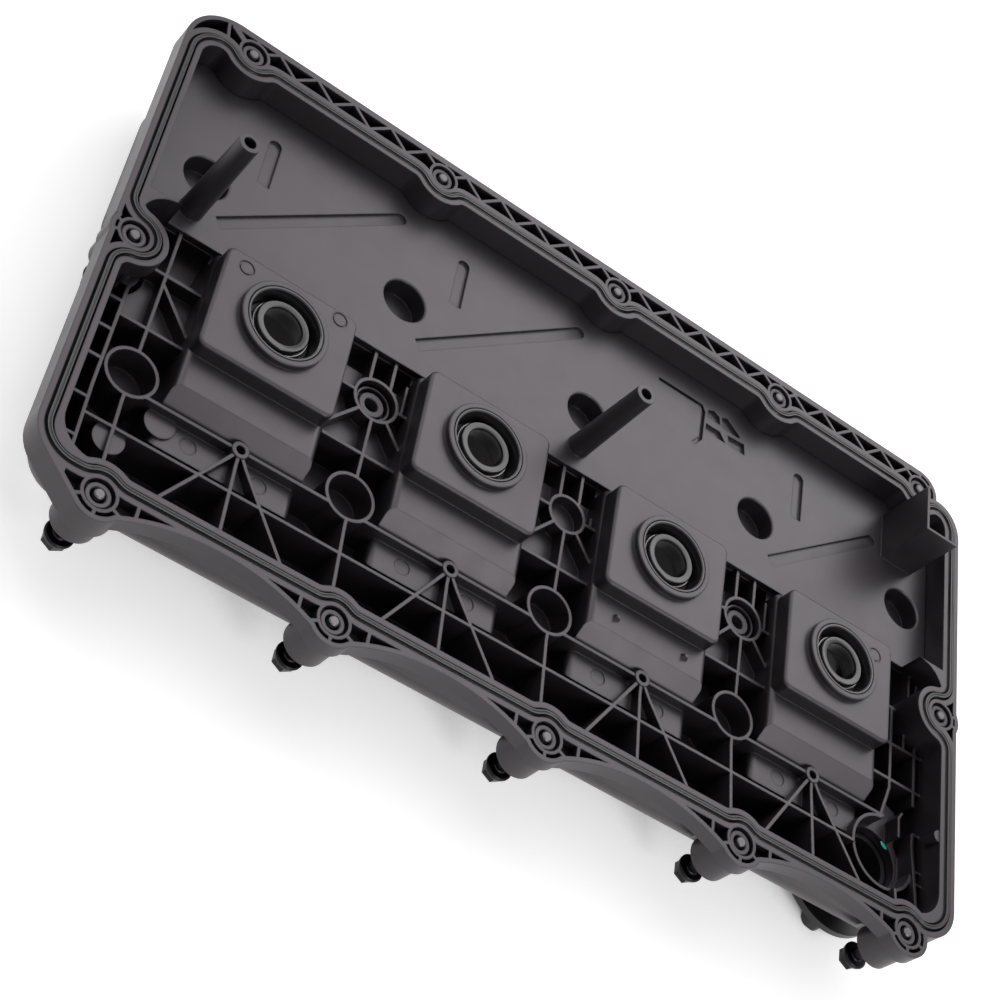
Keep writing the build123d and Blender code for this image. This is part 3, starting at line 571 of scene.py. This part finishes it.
class VALVECOVER_OT_bolts(Operator):
    """Turn one threaded bolt with a flanged hexagon head and set it in every bolt place"""
    bl_idname = "valvecover.bolts"
    bl_label = "Captive bolts"

    def execute(self, context):
        # Phosphated steel is black with a low gleam; the points are coloured a lighter grey.
        black = dull_steel("black_phosphated_steel", tuple(context.scene.valve_cover_colours.bolts), 0.36)
        point_grey = dull_steel("grey_bolt_point", linear("#5a575a"), 0.45)
        for names in (EDGE_BOLTS, MIDDLE_BOLTS):
            low, high = (corner.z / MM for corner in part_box(names[0]))
            bolt = self.bolt(names[0] + "_start", high - low, (black, point_grey))
            places = [(middle(name).x, middle(name).y, high) for name in names]
            for piece, name in zip(copies(bolt, [n + "_threaded" for n in names], places), names):
                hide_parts(name)
                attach(piece, name + "_body")
        return {"FINISHED"}

    def bolt(self, name, length, finishes):
        """One bolt, its tip at the origin and its head below, from the length of the CAD bolt."""
        head_room, threadless, flange_height = 8.6, 9.0, 2.4
        point_end, grey_point_end, first_ring = -2.4, -2.6, -2.8
        shoulder = head_room - length
        profile = (self.point(point_end) + self.thread(first_ring, shoulder + threadless)
                   + self.shank_and_flange(shoulder, threadless, flange_height))
        shank = spun(name, profile, steps=40)
        head = self.hexagon(shoulder - flange_height)
        only(shank)
        head.select_set(True)
        bpy.ops.object.join()
        shank.data.materials.clear()
        for finish in finishes:
            shank.data.materials.append(finish)
        for face in shank.data.polygons:
            face.material_index = int(face.center.z > grey_point_end * MM)
        return shank

    def point(self, end):
        """The smooth pilot point with its chamfered tip, drawn from a hair off the axis."""
        radius, chamfer = 1.9, 0.4
        return [(0.05, 0.0), (radius - chamfer, 0.0), (radius, -chamfer), (radius, end)]

    def thread(self, start, end):
        """Rings of one pitch each, from the root to the crest and back."""
        root, crest = 2.1, 2.48
        pitch = bpy.context.scene.valve_cover_sizes.thread_pitch
        profile = []
        z = start
        while z - pitch > end:
            profile += [(root, z), (crest, z - pitch / 2)]
            z -= pitch
        return profile + [(root, z), (root, end)]

    def shank_and_flange(self, shoulder, threadless, flange_height):
        """The plain shank below the thread and the washer flange under the head."""
        shank_radius, flange_radius, under_hex = 2.5, 5.4, 0.2
        flange_end = shoulder - flange_height
        return [(shank_radius, shoulder + threadless - 0.6), (shank_radius, shoulder + 0.4), (2.9, shoulder),
                (flange_radius - 1.6, shoulder), (flange_radius - 0.5, shoulder - 0.15),
                (flange_radius, shoulder - 0.6), (flange_radius, shoulder - 1.2),
                (flange_radius - 0.4, flange_end), (3.0, flange_end - under_hex),
                (0.05, flange_end - under_hex)]

    def hexagon(self, top):
        """The hexagon head with a chamfered end and a shallow dish in it."""
        height, chamfer, dish_rim, dish_slope, dish_depth = 3.4, 0.5, 0.9, 0.5, 0.7
        across_flats = bpy.context.scene.valve_cover_sizes.across_flats
        nothing_selected()
        bpy.ops.mesh.primitive_cylinder_add(
            vertices=6, radius=across_flats / math.sqrt(3) * MM, depth=height * MM,
            location=(0, 0, (top - height / 2) * MM))
        head = bpy.context.object
        place_in_mesh(head)
        edit_faces(head, lambda face: face.normal.z < -0.9)
        bpy.ops.mesh.bevel(offset=chamfer * MM, segments=2, affect="EDGES")
        object_mode()
        lowest = min(vertex.co.z for vertex in head.data.vertices)
        edit_faces(head, lambda face: face.normal.z < -0.99 and face.center.z < lowest + 0.02 * MM)
        bpy.ops.mesh.inset(thickness=dish_rim * MM, depth=0)
        bpy.ops.mesh.inset(thickness=dish_slope * MM, depth=-dish_depth * MM)
        object_mode()
        smooth(head)
        return head


class VALVECOVER_OT_cap(Operator):
    """Finish the oil filler cap and turn its seal"""
    bl_idname = "valvecover.cap"
    bl_label = "Oil filler cap"

    def execute(self, context):
        # The cap is moulded black nylon with a satin skin, and its ring is nitrile rubber, a little glossier.
        dress("oil_filler_cap", moulded_skin("black_nylon_cap", linear("#161517"), 0.36))
        low, high = (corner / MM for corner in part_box("filler_cap_seal"))
        section = (high.z - low.z) / 2
        nothing_selected()
        bpy.ops.mesh.primitive_torus_add(
            major_radius=((high.x - low.x) / 2 - section) * MM, minor_radius=section * MM,
            major_segments=96, minor_segments=16)
        ring = context.object
        ring.name = ring.data.name = "cap_o_ring"
        shift(ring, *((low + high) / 2))
        smooth(ring, angle=60)
        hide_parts("filler_cap_seal")
        paint(ring, moulded_skin("nitrile_o_ring", linear("#1b1a1b"), 0.3), "filler_cap")
        return {"FINISHED"}


class VALVECOVER_OT_stage(Operator):
    """Lay the pale floor and place the lamps, the surroundings and the camera"""
    bl_idname = "valvecover.stage"
    bl_label = "Stage"

    def execute(self, context):
        sizes = context.scene.valve_cover_sizes
        nothing_selected()
        bpy.ops.mesh.primitive_plane_add(size=sizes.floor_size)
        floor = context.object
        floor.name = "studio_floor"
        shift(floor, 0, 0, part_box("cover_housing")[0].z / MM)
        floor.data.materials.append(floor_paint())
        self.soft_lamp("lamp_rear", (0.45, 0.75, 0.80), size=0.9, power=5.7)
        self.soft_lamp("lamp_top", (-0.30, 0.30, 1.25), size=1.0, power=5.0)
        self.soft_lamp("lamp_front", (0.45, -0.92, 0.575), size=0.45, power=4.4)
        self.soft_lamp("lamp_left", (-0.85, 0.80, 0.45), size=0.5, power=2.0)
        self.surroundings(context.scene, strength=0.26)
        self.camera(context.scene, sizes.camera_lens)
        context.scene.view_settings.view_transform = "Standard"
        return {"FINISHED"}

    def soft_lamp(self, name, place, size, power):
        """A square soft lamp that looks at the middle of the cover: metres and watts."""
        lamp = bpy.data.lights.new(name, "AREA")
        lamp.shape = "SQUARE"
        lamp.size = size
        lamp.energy = power
        holder = bpy.data.objects.new(name, lamp)
        bpy.context.scene.collection.objects.link(holder)
        holder.location = place
        holder.rotation_euler = (-Vector(place)).to_track_quat("-Z", "Y").to_euler()

    def surroundings(self, scene, strength):
        """A soft even light from all round, which the camera and reflections see as white."""
        world = bpy.data.worlds.new("soft_surroundings")
        scene.world = world
        world.use_nodes = True
        tree = world.node_tree
        tree.nodes.clear()
        dim = add_node(tree, "ShaderNodeBackground", {"Color": (1, 1, 1, 1), "Strength": strength})
        white = add_node(tree, "ShaderNodeBackground", {"Color": (1, 1, 1, 1), "Strength": 1.0})
        both = add_node(tree, "ShaderNodeMixShader",
                        links={0: seen_directly(tree), 1: dim.outputs[0], 2: white.outputs[0]})
        add_node(tree, "ShaderNodeOutputWorld", links={"Surface": both.outputs[0]})

    def camera(self, scene, lens):
        """The camera stands at the front left, above the open side, and is rolled a little."""
        place = (-0.32075, -0.51063, 0.51440)
        axes = Matrix(((0.79792, -0.47030, -0.37702),
                       (0.14627, 0.75786, -0.63581),
                       (0.58475, 0.45218, 0.67350)))
        view = bpy.data.cameras.new("camera")
        view.sensor_width = 36.0
        view.lens = lens
        view.clip_start, view.clip_end = 0.05, 20.0
        camera = bpy.data.objects.new("camera", view)
        scene.collection.objects.link(camera)
        camera.matrix_world = Matrix.Translation(place) @ axes.to_4x4()
        scene.camera = camera


STEPS = (VALVECOVER_OT_housing, VALVECOVER_OT_notch_walls, VALVECOVER_OT_paint_dab, VALVECOVER_OT_gasket,
         VALVECOVER_OT_seals, VALVECOVER_OT_sleeves, VALVECOVER_OT_bolts, VALVECOVER_OT_cap,
         VALVECOVER_OT_stage)


class VALVECOVER_PT_panel(Panel):
    bl_label = "Valve cover"
    bl_idname = "VALVECOVER_PT_panel"
    bl_space_type = "VIEW_3D"
    bl_region_type = "UI"
    bl_category = "Valve cover"

    def draw(self, context):
        for step in STEPS:
            self.layout.operator(step.bl_idname)
        for name in ("spin_steps", "thread_pitch", "across_flats", "camera_lens", "floor_size"):
            self.layout.prop(context.scene.valve_cover_sizes, name)
        for name in ("nylon", "plate", "bolts"):
            self.layout.prop(context.scene.valve_cover_colours, name)


CLASSES = (ValveCoverSizes, ValveCoverColours) + STEPS + (VALVECOVER_PT_panel,)


def register():
    for item in CLASSES:
        bpy.utils.register_class(item)
    bpy.types.Scene.valve_cover_sizes = PointerProperty(type=ValveCoverSizes)
    bpy.types.Scene.valve_cover_colours = PointerProperty(type=ValveCoverColours)


def unregister():
    del bpy.types.Scene.valve_cover_colours
    del bpy.types.Scene.valve_cover_sizes
    for item in reversed(CLASSES):
        bpy.utils.unregister_class(item)


def main():
    register()
    bpy.ops.valvecover.housing()
    bpy.ops.valvecover.notch_walls()
    bpy.ops.valvecover.paint_dab()
    bpy.ops.valvecover.gasket()
    bpy.ops.valvecover.seals()
    bpy.ops.valvecover.sleeves()
    bpy.ops.valvecover.bolts()
    bpy.ops.valvecover.cap()
    bpy.ops.valvecover.stage()


if __name__ == "__main__":
    main()
